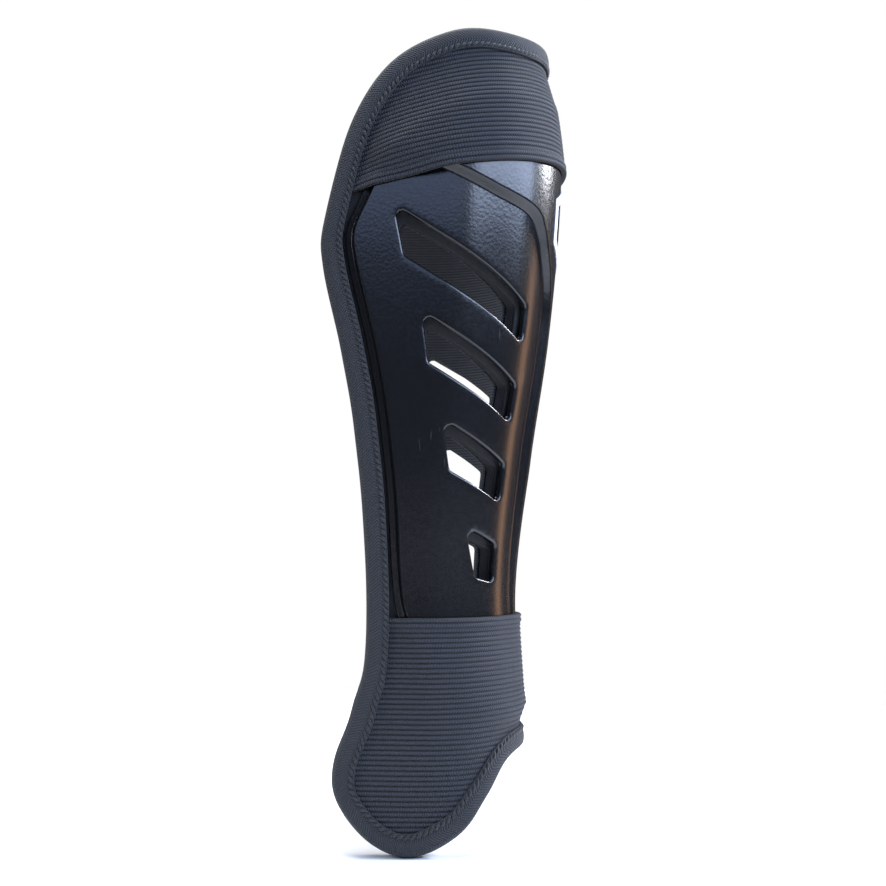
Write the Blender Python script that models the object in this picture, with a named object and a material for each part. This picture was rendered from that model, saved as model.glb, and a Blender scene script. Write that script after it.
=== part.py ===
"""Shin guard: a moulded shell held on a padded back by two elastic bands.

Everything is laid out on one curved surface, the outer face of the pad. A point on it has two
coordinates: the girth q, measured round the leg from the front ridge (+q towards +X), and the
height z. Each layer is a sheet cut out in q and z and raised off that surface by its own offset.
Metres, +Z up the shin, -Y the front, +Y the open back.
"""
import math

import bmesh
import bpy
from mathutils import Vector
from mathutils.geometry import delaunay_2d_cdt

# Overall size
GUARD_HEIGHT = 0.3258
CALF_HALF_WIDTH = 0.0435
ANKLE_HALF_WIDTH = 0.0340
CALF_WRAP = 0.1130
ANKLE_WRAP = 0.0738
LOBE_WRAP = 0.0935
ARCH_HEIGHT = 0.0355
FRONT_LEAN = 0.0190
LEG_CURL_RADIUS = 0.130

# Layers of the pad and what lies on it
FACE_FABRIC = 0.0006
FOAM = 0.0050
FOAM_AT_EDGE = 0.0020
LINING = 0.0008
LAYER_GAP = 0.0003
REST_GAP = 0.0005
ELASTIC = 0.0012

# Edge binding and its two seams
BINDING_WIDTH = 0.0090
BINDING_TAPE = 0.0011
BINDING_ROUND = 0.0015
FOAM_RAMP = 0.0050
SEAM_THREAD = 0.0011
SEAM_INSET = 0.0012

# Moulded shell
SHELL_WALL = 0.0022
SHELL_EDGE_WALL = 0.0012
SHELL_BELOW_TOP = 0.0238
SHELL_ABOVE_BINDING = 0.0045
SHELL_SIDE_GAP = 0.0010
SHELL_POCKET_GAP = 0.0034
FLANGE_WIDTH = 0.0040
FLANGE_RISE = 0.0010
PANEL_RISE = 0.0034
PANEL_RISE_AT_FOOT = 0.0005
PANEL_FADE_AT_TOP = 0.0300
PANEL_FADE_AT_FOOT = 0.1000
PANEL_RISER = 0.0030
SPINE_HALF_WIDTH = 0.0110
SPINE_HALF_WIDTH_AT_FOOT = 0.0095
PANEL_FLARE_BELOW_TOP = 0.0898

# Slots, counted down from the top one on each side
SLOT_COUNT = 4
SLOT_FRONT_Q = 0.0258
SLOT_FRONT_Q_STEP = 0.0010
SLOT_FRONT_BELOW_TOP = 0.1285
SLOT_FRONT_Z_STEP = 0.0316
SLOT_FRONT_HEIGHT = 0.0152
SLOT_FRONT_LEAN = 0.0002
SLOT_REAR_Q = 0.0800
SLOT_REAR_Q_STEP = 0.0160
SLOT_REAR_BELOW_TOP = 0.0968
SLOT_REAR_Z_STEP = 0.0414
SLOT_REAR_HEIGHT = 0.0194
SLOT_REAR_LEAN = 0.0059
SLOT_ROUND = 0.0020
VENT_FRONT_INSET = 0.0015
VENT_FRONT_INSET_STEP = 0.0015
VENT_DROP_AT_REAR = 0.0045
VENT_DROP_AT_FRONT = 0.0010
VENT_ROUND = 0.0020

# Elastic bands
UPPER_BAND_DEPTH_AT_FRONT = 0.0530
UPPER_BAND_DROP_PER_GIRTH = 0.235
UPPER_BAND_LEVEL_GIRTH = 0.025
LOWER_BAND_EDGE = 0.0893
BAND_TUCK = 0.0015
BAND_TENT = 0.0140
BAND_EASE = 0.0008

# Film badge on the raised panel
BADGE_BELOW_TOP = 0.0758
BADGE_RADIUS = 0.0180
BADGE_BAND = 0.0040
BADGE_FILM = 0.0004

# Heights that follow from the sizes above
SHELL_TOP = GUARD_HEIGHT - SHELL_BELOW_TOP
SHELL_FOOT = ARCH_HEIGHT + BINDING_WIDTH + SHELL_ABOVE_BINDING
PANEL_FLARE_HEIGHT = GUARD_HEIGHT - PANEL_FLARE_BELOW_TOP
SLOT_FRONT_Z = GUARD_HEIGHT - SLOT_FRONT_BELOW_TOP
SLOT_REAR_Z = GUARD_HEIGHT - SLOT_REAR_BELOW_TOP
UPPER_BAND_EDGE_AT_FRONT = GUARD_HEIGHT - UPPER_BAND_DEPTH_AT_FRONT
BADGE_HEIGHT = GUARD_HEIGHT - BADGE_BELOW_TOP

# Mesh steps
GIRTH_STEP = 0.0088
HEIGHT_STEP = 0.0250
EDGE_STEP = 0.0125
SLOT_STEP = 0.0150
GIRTH_WEIGHT = 1.8
CLEAR_OF_EDGE = 0.0028


# ---------------------------------------------------------------- curves in q and z

def spline_point(a, b, c, d, t):
    """Point at t between b and c on the smooth curve through a, b, c, d."""
    return tuple(
        0.5 * (2 * q + (r - p) * t + (2 * p - 5 * q + 4 * r - s) * t * t
               + (3 * q - p - 3 * r + s) * t ** 3)
        for p, q, r, s in zip(a, b, c, d))


def mirrored_loop(half):
    """Closed outline, anticlockwise, from a half that runs down the +q side."""
    left = [(-q, z) for q, z in half[1:-1]]
    return list(reversed(half)) + left


def smooth_half(points, parts=8):
    """Smooth half outline that crosses q = 0 level at both ends."""
    first = (-points[1][0], points[1][1])
    last = (-points[-2][0], points[-2][1])
    keys = [first] + points + [last]
    half = []
    for i in range(1, len(keys) - 2):
        half += [spline_point(*keys[i - 1:i + 3], k / parts) for k in range(parts)]
    return half + [points[-1]]


def spaced(loop, step):
    """The same closed outline with points a step apart, and closer where it runs round the leg."""
    closed = loop + [loop[0]]
    lengths = [math.hypot((b[0] - a[0]) * GIRTH_WEIGHT, b[1] - a[1])
               for a, b in zip(closed, closed[1:])]
    count = 2 * round(sum(lengths) / step / 2)
    points = []
    for k in range(count):
        along = sum(lengths) * k / count
        i = 0
        while along > lengths[i]:
            along -= lengths[i]
            i += 1
        a, b = closed[i], closed[i + 1]
        t = along / lengths[i]
        points.append((a[0] + (b[0] - a[0]) * t, a[1] + (b[1] - a[1]) * t))
    return points


def divided(loop, longest):
    """The same outline with its long sides cut up, so that they bend with the leg."""
    points = []
    for (q1, z1), (q2, z2) in zip(loop, loop[1:] + loop[:1]):
        parts = math.ceil(math.hypot((q2 - q1) * GIRTH_WEIGHT, z2 - z1) / longest)
        points += [(q1 + (q2 - q1) * k / parts, z1 + (z2 - z1) * k / parts) for k in range(parts)]
    return points


def inset(loop, distance):
    """Move each point of an anticlockwise outline inwards."""
    moved = []
    for i, (q, z) in enumerate(loop):
        before, after = loop[i - 1], loop[(i + 1) % len(loop)]
        along = Vector((after[0] - before[0], after[1] - before[1])).normalized()
        moved.append((q - along.y * distance, z + along.x * distance))
    return moved


def rounded(corners, radius, steps=2):
    """Polygon with each corner turned into a short arc."""
    points = []
    for i, corner in enumerate(corners):
        here = Vector(corner)
        back = (Vector(corners[i - 1]) - here).normalized()
        ahead = (Vector(corners[(i + 1) % len(corners)]) - here).normalized()
        half_angle = back.angle(ahead) / 2
        reach = radius / math.tan(half_angle)
        centre = here + (back + ahead).normalized() * radius / math.sin(half_angle)
        start, end = here + back * reach - centre, here + ahead * reach - centre
        for k in range(steps + 1):
            arm = start.slerp(end, k / steps).normalized() * radius
            points.append(tuple(centre + arm))
    return points


def inside(point, loop):
    q, z = point
    hit = False
    for (q1, z1), (q2, z2) in zip(loop, loop[1:] + loop[:1]):
        if (z1 > z) != (z2 > z) and q < q1 + (z - z1) / (z2 - z1) * (q2 - q1):
            hit = not hit
    return hit


def depth(point, loop):
    """Distance from an outline, positive inside it."""
    q, z = point
    nearest = 1.0
    for (q1, z1), (q2, z2) in zip(loop, loop[1:] + loop[:1]):
        along_q, along_z = q2 - q1, z2 - z1
        share = ((q - q1) * along_q + (z - z1) * along_z) / (along_q ** 2 + along_z ** 2)
        share = min(1.0, max(0.0, share))
        nearest = min(nearest, math.hypot(q - q1 - along_q * share, z - z1 - along_z * share))
    return nearest if inside(point, loop) else -nearest


def ramp(x):
    return min(1.0, max(0.0, x))


# ---------------------------------------------------------------- the leg surface

def stations():
    """Height, ridge y, half width and front depth of the cross-sections, foot to top."""
    lean, ankle, calf = FRONT_LEAN, ANKLE_HALF_WIDTH, CALF_HALF_WIDTH
    shares = [
        (-0.05, -0.38, 0.32, 0.001),
        (0.00, -0.38, 0.32, 0.001),
        (0.14, -0.25, 0.22, 0.001),
        (0.19, -0.12, 0.16, 0.001),
        (0.31, 0.00, 0.00, 0.002),
        (0.46, -0.25, 0.33, 0.002),
        (0.62, -0.67, 0.74, 0.002),
        (0.77, -0.93, 1.00, 0.002),
        (0.89, -1.00, 0.96, 0.002),
        (1.00, -0.90, 0.76, 0.001),
        (1.05, -0.86, 0.66, 0.001)]
    rows = []
    for height, forward, widening, blunt in shares:
        half_width = ankle + (calf - ankle) * widening
        rows.append((height * GUARD_HEIGHT, forward * lean, half_width, half_width - blunt))
    return rows


STATIONS = stations()


def section(z):
    """Ridge y, half width and front depth at a height."""
    i = 0
    while i < len(STATIONS) - 2 and STATIONS[i + 1][0] < z:
        i += 1
    low, high = STATIONS[i], STATIONS[i + 1]
    before = STATIONS[max(i - 1, 0)]
    after = STATIONS[min(i + 2, len(STATIONS) - 1)]
    span = high[0] - low[0]
    t = (z - low[0]) / span
    values = []
    for k in (1, 2, 3):
        slope_low = (high[k] - before[k]) / (high[0] - before[0]) * span
        slope_high = (after[k] - low[k]) / (after[0] - low[0]) * span
        values.append((2 * t ** 3 - 3 * t ** 2 + 1) * low[k] + (t ** 3 - 2 * t ** 2 + t) * slope_low
                      + (3 * t ** 2 - 2 * t ** 3) * high[k] + (t ** 3 - t ** 2) * slope_high)
    return values


def on_leg(q, z):
    """Point on the pad's outer face: a half ellipse in front, then legs that curl in a little."""
    ridge, half_width, front_depth = section(z)
    radius = (half_width + front_depth) / 2
    front_girth = radius * math.pi / 2
    if abs(q) < front_girth:
        angle = abs(q) / radius
        x = half_width * math.sin(angle)
        y = ridge + front_depth * (1 - math.cos(angle))
    else:
        past = abs(q) - front_girth
        x = half_width * math.sqrt(1 - (past / LEG_CURL_RADIUS) ** 2)
        y = ridge + front_depth + past
    return Vector((math.copysign(x, q), y, z))


def off_leg(q, z, offset):
    """The same point moved square to the surface, outwards for a positive offset."""
    reach = 1e-4
    round_leg = on_leg(q + reach, z) - on_leg(q - reach, z)
    up_leg = on_leg(q, z + reach) - on_leg(q, z - reach)
    return on_leg(q, z) + round_leg.cross(up_leg).normalized() * offset


# ---------------------------------------------------------------- outlines

def guard_half():
    """Outer edge of the binding, from the top of the shin down to the ankle arch."""
    top, calf, ankle, lobe = GUARD_HEIGHT, CALF_WRAP, ANKLE_WRAP, LOBE_WRAP
    return smooth_half([
        (0.0, top), (calf * 0.294, top * 0.990), (calf * 0.549, top * 0.981),
        (calf * 0.780, top * 0.940), (calf * 0.930, top * 0.8625), (calf, top * 0.749),
        (calf * 0.984, top * 0.690), (calf * 0.875, top * 0.590), (calf * 0.779, top * 0.502),
        (ankle * 1.061, top * 0.394), (ankle, top * 0.302), (ankle * 1.033, top * 0.222),
        (lobe * 0.888, top * 0.170), (lobe * 0.990, top * 0.108), (lobe * 0.987, top * 0.062),
        (lobe * 0.861, top * 0.016), (lobe * 0.690, 0.0), (lobe * 0.490, ARCH_HEIGHT * 0.23),
        (lobe * 0.359, ARCH_HEIGHT * 0.60), (lobe * 0.225, ARCH_HEIGHT * 0.945), (0.0, ARCH_HEIGHT)])


GUARD_OUTLINE = spaced(mirrored_loop(guard_half()), EDGE_STEP)


def widest_at(z, loop):
    """Half girth inside an outline at a height."""
    widest = 0.0
    for (q1, z1), (q2, z2) in zip(loop, loop[1:] + loop[:1]):
        if min(z1, z2) <= z <= max(z1, z2) and z1 != z2:
            widest = max(widest, q1 + (z - z1) / (z2 - z1) * (q2 - q1))
    return widest


def upper_band_edge(q):
    """Free edge of the upper band: level across the front, then falling steadily to the sides."""
    level = UPPER_BAND_LEVEL_GIRTH
    return UPPER_BAND_EDGE_AT_FRONT - UPPER_BAND_DROP_PER_GIRTH * (math.hypot(q, level) - level)


def lower_band_edge(q):
    return LOWER_BAND_EDGE


def shell_half():
    """Edge of the shell: it follows the binding in the open, and draws in under the bands."""
    open_edge = inset(GUARD_OUTLINE, BINDING_WIDTH + SHELL_SIDE_GAP)
    pocket_edge = inset(GUARD_OUTLINE, BINDING_WIDTH + SHELL_POCKET_GAP)
    upper_tuck = upper_band_edge(CALF_WRAP)
    visible = upper_tuck - LOWER_BAND_EDGE
    tall = SHELL_TOP - upper_tuck
    deep = LOWER_BAND_EDGE - SHELL_FOOT
    upper_width = widest_at(upper_tuck, pocket_edge)
    lower_width = widest_at(LOWER_BAND_EDGE, pocket_edge)
    points = [(0.0, SHELL_TOP)]
    for across, down in ((0.30, 0.04), (0.58, 0.18), (0.80, 0.42), (0.93, 0.70)):
        points.append((upper_width * across, SHELL_TOP - tall * down))
    points.append((upper_width, upper_tuck))
    for share in (0.92, 0.84, 0.72, 0.60, 0.48, 0.36, 0.24, 0.12):
        z = LOWER_BAND_EDGE + visible * share
        points.append((widest_at(z, open_edge), z))
    points.append((lower_width, LOWER_BAND_EDGE))
    for across, down in ((0.90, 0.40), (0.76, 0.72), (0.50, 0.93)):
        points.append((lower_width * across, LOWER_BAND_EDGE - deep * down))
    return smooth_half(points + [(0.0, SHELL_FOOT)], parts=4)


SHELL_OUTLINE = spaced(mirrored_loop(shell_half()), EDGE_STEP)
CREASE = inset(SHELL_OUTLINE, FLANGE_WIDTH)


def panel_outline():
    """Foot of the panel's riser: a narrow spine that flares out to the shell's sides."""
    flare, spine = PANEL_FLARE_HEIGHT, SPINE_HALF_WIDTH
    shoulder = UPPER_BAND_EDGE_AT_FRONT
    side = widest_at(shoulder, GUARD_OUTLINE)
    rise = shoulder - flare
    spine_at_foot = SPINE_HALF_WIDTH_AT_FOOT
    half = [
        (side, SHELL_TOP + rise), (side, shoulder + rise * 0.10),
        (side * 0.76, shoulder - rise * 0.12), (side * 0.59, shoulder - rise * 0.34),
        (side * 0.44, shoulder - rise * 0.53), (side * 0.29, shoulder - rise * 0.66),
        (side * 0.24, shoulder - rise * 0.80), (side * 0.20, shoulder - rise),
        (spine * 1.15, flare - rise * 0.5), (spine, flare - rise), (spine, flare - rise * 2.0),
        (spine_at_foot, SHELL_FOOT + rise), (spine_at_foot, SHELL_FOOT - rise)]
    return list(reversed(half)) + [(-q, z) for q, z in half]


PANEL = panel_outline()
PANEL_TOP_EDGE = inset(PANEL, PANEL_RISER)


def slot_corners(index):
    """Corners of a diagonal slot: low at the front, high at the back, smaller towards the ankle."""
    low_front = Vector((SLOT_FRONT_Q - SLOT_FRONT_Q_STEP * index, SLOT_FRONT_Z - SLOT_FRONT_Z_STEP * index))
    low_rear = Vector((SLOT_REAR_Q - SLOT_REAR_Q_STEP * index, SLOT_REAR_Z - SLOT_REAR_Z_STEP * index))
    top_rear = low_rear + Vector((SLOT_REAR_LEAN, SLOT_REAR_HEIGHT))
    top_front = low_front + Vector((SLOT_FRONT_LEAN, SLOT_FRONT_HEIGHT))
    return low_front, low_rear, top_rear, top_front


def vent_corners(index):
    """Corners of the pad's hole behind a slot: level with it below and a little lower above."""
    low_front, low_rear, top_rear, top_front = slot_corners(index)
    step_back = VENT_FRONT_INSET - VENT_FRONT_INSET_STEP * index
    return (
        low_front + (low_rear - low_front).normalized() * step_back,
        low_rear,
        top_rear + (low_rear - top_rear).normalized() * VENT_DROP_AT_REAR,
        top_front + (top_rear - top_front).normalized() * step_back - Vector((0, VENT_DROP_AT_FRONT)))


def holes(corners_of, radius):
    """The same row of rounded holes on both sides of the guard."""
    loops = []
    for index in range(SLOT_COUNT):
        loop = divided(rounded(corners_of(index), radius), SLOT_STEP)
        loops += [loop, [(-q, z) for q, z in reversed(loop)]]
    return loops


SLOTS = holes(slot_corners, SLOT_ROUND)
VENTS = holes(vent_corners, VENT_ROUND)


# ---------------------------------------------------------------- offsets of each layer

PAD_EDGE = BINDING_TAPE + LAYER_GAP
PAD_OUTLINE = inset(GUARD_OUTLINE, PAD_EDGE)
BINDING_INNER_EDGE = inset(GUARD_OUTLINE, BINDING_WIDTH + REST_GAP)


def foam_back(q, z):
    """Inner face of the foam, which is pressed thin where the binding grips it."""
    past_binding = depth((q, z), BINDING_INNER_EDGE)
    thick = FOAM_AT_EDGE + (FOAM - FOAM_AT_EDGE) * ramp(past_binding / FOAM_RAMP)
    return -FACE_FABRIC - LAYER_GAP - thick


def past_flange(q, z):
    """0 at the shell's edge, 1 from the crease inwards."""
    return ramp(depth((q, z), SHELL_OUTLINE) / FLANGE_WIDTH)


def panel_rise(z):
    """Height of the raised panel, which sinks into the shell at the top and along the spine's foot."""
    at_top = PANEL_RISE * ramp((SHELL_TOP - z) / PANEL_FADE_AT_TOP)
    grown = ramp((z - SHELL_FOOT) / PANEL_FADE_AT_FOOT)
    return min(at_top, PANEL_RISE_AT_FOOT + (PANEL_RISE - PANEL_RISE_AT_FOOT) * grown)


def shell_back(q, z):
    panel = panel_rise(z) * ramp(depth((q, z), PANEL) / PANEL_RISER)
    return REST_GAP + (FLANGE_RISE + panel) * past_flange(q, z)


def shell_front(q, z):
    return shell_back(q, z) + SHELL_EDGE_WALL + (SHELL_WALL - SHELL_EDGE_WALL) * past_flange(q, z)


def band_back(q, z):
    """Inner face of an elastic band, stretched from the binding to the crease and over the spine."""
    from_binding = max(0.0, depth((q, z), BINDING_INNER_EDGE))
    to_crease = max(0.0, -depth((q, z), CREASE))
    bridge = from_binding / max(from_binding + to_crease, REST_GAP)
    tent = ramp(1 + depth((q, z), PANEL_TOP_EDGE) / BAND_TENT)
    return REST_GAP + (FLANGE_RISE + SHELL_WALL + BAND_EASE + panel_rise(z) * tent) * bridge


# ---------------------------------------------------------------- solids

def finish(name, mesh, colour, roughness, metallic=0.0):
    material = bpy.data.materials.new(name)
    material.use_nodes = True
    shader = material.node_tree.nodes["Principled BSDF"]
    shader.inputs["Base Color"].default_value = (*colour, 1.0)
    shader.inputs["Roughness"].default_value = roughness
    shader.inputs["Metallic"].default_value = metallic
    mesh.materials.append(material)
    mesh.shade_smooth()
    mesh.set_sharp_from_angle(angle=math.radians(40))
    piece = bpy.data.objects.new(name, mesh)
    bpy.context.scene.collection.objects.link(piece)
    return piece


def solid(name, points, faces, colour, roughness):
    mesh = bpy.data.meshes.new(name)
    mesh.from_pydata([tuple(p) for p in points], [], faces)
    work = bmesh.new()
    work.from_mesh(mesh)
    bmesh.ops.triangulate(work, faces=work.faces)
    work.to_mesh(mesh)
    work.free()
    return finish(name, mesh, colour, roughness)


def lattice(loops, guides):
    """Evenly spaced points that lie clear of every edge and guide line."""
    outline, holes = loops[0], loops[1:]
    fixed = [p for line in guides for p in line]
    low = min(z for q, z in outline)
    high = max(z for q, z in outline)
    widest = max(q for q, z in outline)
    columns = int(widest / GIRTH_STEP)
    rows = int((high - low) / HEIGHT_STEP)
    points = []
    for row in range(rows + 1):
        z = low + (high - low) * (row + 0.5) / (rows + 1)
        for column in range(-columns, columns + 1):
            point = (column * GIRTH_STEP, z)
            clear = depth(point, outline) > CLEAR_OF_EDGE
            clear = clear and all(depth(point, hole) < -CLEAR_OF_EDGE for hole in holes)
            if clear and all(math.dist(point, p) > CLEAR_OF_EDGE for p in fixed):
                points.append(point)
    return points


def sheet(name, loops, guides, back, front, colour, roughness):
    """Closed solid between two offsets of the leg surface, cut to an outline with holes.

    Guide lines put edges of the mesh along folds of the sheet.
    """
    points, edges = [], []
    for loop in loops:
        first = len(points)
        points += loop
        edges += [(first + i, first + (i + 1) % len(loop)) for i in range(len(loop))]
    kept_guides = []
    for guide in guides:
        usable = [depth(p, loops[0]) > REST_GAP for p in guide]
        usable = [u and all(depth(p, hole) < -REST_GAP for hole in loops[1:])
                  for u, p in zip(usable, guide)]
        first = len(points)
        points += guide
        for i in range(len(guide)):
            after = (i + 1) % len(guide)
            if usable[i] or usable[after]:
                edges.append((first + i, first + after))
        kept_guides.append([p for u, p in zip(usable, guide) if u])
    points += lattice(loops, kept_guides)
    flat, _, triangles, *_ = delaunay_2d_cdt([Vector(p) for p in points], edges, [], 0, 1e-7)
    flat = [tuple(p) for p in flat]
    kept = []
    for triangle in triangles:
        middle = tuple(sum(flat[i][k] for i in triangle) / 3 for k in (0, 1))
        if inside(middle, loops[0]) and not any(inside(middle, hole) for hole in loops[1:]):
            kept.append(tuple(triangle))
    used = sorted({i for triangle in kept for i in triangle})
    place = {old: new for new, old in enumerate(used)}
    count = len(used)
    vertices = [off_leg(*flat[i], front(*flat[i])) for i in used]
    vertices += [off_leg(*flat[i], back(*flat[i])) for i in used]
    faces = [tuple(place[i] for i in triangle) for triangle in kept]
    sides = {(a, b) for face in faces for a, b in zip(face, face[1:] + face[:1])}
    faces += [tuple(i + count for i in reversed(face)) for face in list(faces)]
    faces += [(b, a, a + count, b + count) for a, b in sorted(sides) if (b, a) not in sides]
    return solid(name, vertices, faces, colour, roughness)


def swept(name, path, profile, colour, roughness):
    """Closed ring: a profile of (inset, offset) pairs carried round an outline."""
    rings = [inset(path, distance) for distance, _ in profile]
    vertices = []
    for i in range(len(path)):
        vertices += [off_leg(*rings[k][i], offset) for k, (_, offset) in enumerate(profile)]
    width = len(profile)
    faces = []
    for i in range(len(path)):
        here, ahead = i * width, (i + 1) % len(path) * width
        for k in range(width):
            after = (k + 1) % width
            faces.append((here + k, ahead + k, ahead + after, here + after))
    return solid(name, vertices, faces, colour, roughness)


# ---------------------------------------------------------------- the pieces

FABRIC_BLACK = (0.012, 0.012, 0.014)
SHELL_BLACK = (0.010, 0.011, 0.014)
FOAM_GREY = (0.030, 0.030, 0.032)
BADGE_WHITE = (0.80, 0.80, 0.80)


def build_pad():
    """Foam between a plain front fabric and a ribbed lining, all cut to one outline."""
    loops = [PAD_OUTLINE] + VENTS
    guides = [BINDING_INNER_EDGE]
    sheet("pad_front_fabric", loops, guides, lambda q, z: -FACE_FABRIC, lambda q, z: 0.0,
          FABRIC_BLACK, 0.9)
    sheet("foam_core", loops, guides, foam_back, lambda q, z: -FACE_FABRIC - LAYER_GAP,
          FOAM_GREY, 0.95)
    sheet("inner_lining", loops, guides, lambda q, z: foam_back(q, z) - LAYER_GAP - LINING,
          lambda q, z: foam_back(q, z) - LAYER_GAP, FABRIC_BLACK, 0.9)


def build_shell():
    guides = [CREASE, spaced(PANEL, EDGE_STEP), spaced(PANEL_TOP_EDGE, EDGE_STEP)]
    sheet("front_shell", [SHELL_OUTLINE] + SLOTS, guides, shell_back, shell_front,
          SHELL_BLACK, 0.25)


def build_badge():
    """Plain six-sided ring of film on the panel."""
    rim = []
    for radius in (BADGE_RADIUS, BADGE_RADIUS - BADGE_BAND):
        corners = [(radius * math.sin(k * math.pi / 3), BADGE_HEIGHT + radius * math.cos(k * math.pi / 3))
                   for k in range(6, 0, -1)]
        rim.append(spaced(corners, BADGE_RADIUS / 2))

    def film_back(q, z):
        return REST_GAP * 2 + FLANGE_RISE + PANEL_RISE + SHELL_WALL

    sheet("panel_badge", rim, [], film_back, lambda q, z: film_back(q, z) + BADGE_FILM,
          BADGE_WHITE, 0.5)


def band_region(keep):
    """Part of the pad's face that one band covers, tucked in under the binding."""
    tucked = inset(GUARD_OUTLINE, PAD_EDGE + BAND_TUCK)
    count = len(tucked)
    region = []
    for i, point in enumerate(tucked):
        ahead = tucked[(i + 1) % count]
        if keep(*point) > 0:
            region.append(point)
        if (keep(*point) > 0) != (keep(*ahead) > 0):
            share = keep(*point) / (keep(*point) - keep(*ahead))
            region.append(tuple(a + (b - a) * share for a, b in zip(point, ahead)))
    return region


def build_band(name, keep, free_edge):
    """One elastic band. Its free edge gets points of its own, so that it follows the leg."""
    region = band_region(keep)
    ends = [i for i, point in enumerate(region) if abs(keep(*point)) < 1e-6]
    first, second = ends
    gap_follows = second if (second + 1) % len(region) == first else first
    start, end = region[gap_follows], region[(gap_follows + 1) % len(region)]
    steps = round(abs(end[0] - start[0]) / GIRTH_STEP)
    edge = []
    for k in range(1, steps):
        q = start[0] + (end[0] - start[0]) * k / steps
        edge.append((q, free_edge(q)))
    outline = region[:gap_follows + 1] + edge + region[gap_follows + 1:]
    outside_shell = inset(SHELL_OUTLINE, -REST_GAP)
    over_panel = spaced(inset(PANEL_TOP_EDGE, -REST_GAP), EDGE_STEP)
    guides = [BINDING_INNER_EDGE, outside_shell, CREASE, over_panel]
    sheet(name, [outline], guides, band_back, lambda q, z: band_back(q, z) + ELASTIC,
          FABRIC_BLACK, 0.9)


def build_bands():
    build_band("upper_elastic_band", lambda q, z: z - upper_band_edge(q), upper_band_edge)
    build_band("lower_elastic_band", lambda q, z: lower_band_edge(q) - z, lower_band_edge)


def build_binding():
    """Tape folded over the edge, front to back, with a row of thread along each inner edge."""
    front = REST_GAP * 2 + ELASTIC
    back = -FACE_FABRIC - FOAM_AT_EDGE - LINING - LAYER_GAP * 2 - REST_GAP
    tape, width, turn = BINDING_TAPE, BINDING_WIDTH, BINDING_ROUND
    profile = [(width, front), (tape, front), (tape, back), (width, back),
               (width, back - tape), (turn, back - tape), (0.0, back - tape + turn),
               (0.0, front + tape - turn), (turn, front + tape), (width, front + tape)]
    swept("edge_binding", GUARD_OUTLINE, profile, FABRIC_BLACK, 0.85)
    thread = SEAM_THREAD / 2
    places = (("front_binding_seam", front + tape + LAYER_GAP + thread),
              ("rear_binding_seam", back - tape - LAYER_GAP - thread))
    for name, middle in places:
        ring = [(width - SEAM_INSET - thread * math.cos(a), middle + thread * math.sin(a))
                for a in (k * math.pi / 2 for k in range(4))]
        swept(name, GUARD_OUTLINE, ring, FABRIC_BLACK, 0.7)


def stand_on_origin():
    """Centre the guard front to back over the origin, with its lobes on the ground."""
    meshes = [piece.data for piece in bpy.data.objects]
    front = min(v.co.y for mesh in meshes for v in mesh.vertices)
    rear = max(v.co.y for mesh in meshes for v in mesh.vertices)
    lowest = min(v.co.z for mesh in meshes for v in mesh.vertices)
    shift = Vector((0.0, -(front + rear) / 2, -lowest))
    for mesh in meshes:
        for vertex in mesh.vertices:
            vertex.co += shift


for old in list(bpy.data.objects):
    bpy.data.objects.remove(old)
build_pad()
build_shell()
build_badge()
build_bands()
build_binding()
stand_on_origin()
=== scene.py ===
"""Shin guard in its studio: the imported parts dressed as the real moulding, foam, cloth and tape.

The guard is built up as it is in the workshop: padded back, moulded shell, elastic bands, edge
tape, stitching. Every layer is laid out on the leg surface, in girth q from the front ridge and
height z, and raised square to it by its own offset. Metres, +Z up the shin, -Y the front.
"""
import math

import bpy
import numpy as np
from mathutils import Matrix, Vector
from mathutils.geometry import delaunay_2d_cdt
from mathutils.kdtree import KDTree


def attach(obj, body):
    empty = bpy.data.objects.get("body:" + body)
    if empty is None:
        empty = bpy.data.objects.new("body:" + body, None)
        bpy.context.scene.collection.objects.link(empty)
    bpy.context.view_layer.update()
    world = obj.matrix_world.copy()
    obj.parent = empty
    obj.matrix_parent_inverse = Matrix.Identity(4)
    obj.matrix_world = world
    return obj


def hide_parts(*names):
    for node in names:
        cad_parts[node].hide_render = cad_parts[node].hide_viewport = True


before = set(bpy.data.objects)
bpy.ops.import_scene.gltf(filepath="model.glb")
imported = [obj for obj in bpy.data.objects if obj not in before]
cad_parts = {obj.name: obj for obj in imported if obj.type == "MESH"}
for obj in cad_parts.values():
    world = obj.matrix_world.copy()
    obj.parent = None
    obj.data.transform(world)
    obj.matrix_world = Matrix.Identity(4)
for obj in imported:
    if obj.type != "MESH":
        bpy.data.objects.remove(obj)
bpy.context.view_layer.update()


# ------------------------------------------------------------------ camera
# A normal lens at arm's length from the guard's side, at ankle height, turned up a little, so
# that the guard fills the frame from its ankle lobes to its top edge.
camera_data = bpy.data.cameras.new("side_camera")
camera_data.sensor_width = 36.0
camera_data.lens = 48.76
camera = bpy.data.objects.new("side_camera", camera_data)
camera.location = (-0.500, 0.0019, 0.1173)
camera.rotation_euler = (math.radians(90 + 4.86), 0.0, math.radians(-90))
bpy.context.scene.collection.objects.link(camera)
bpy.context.scene.camera = camera


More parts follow.
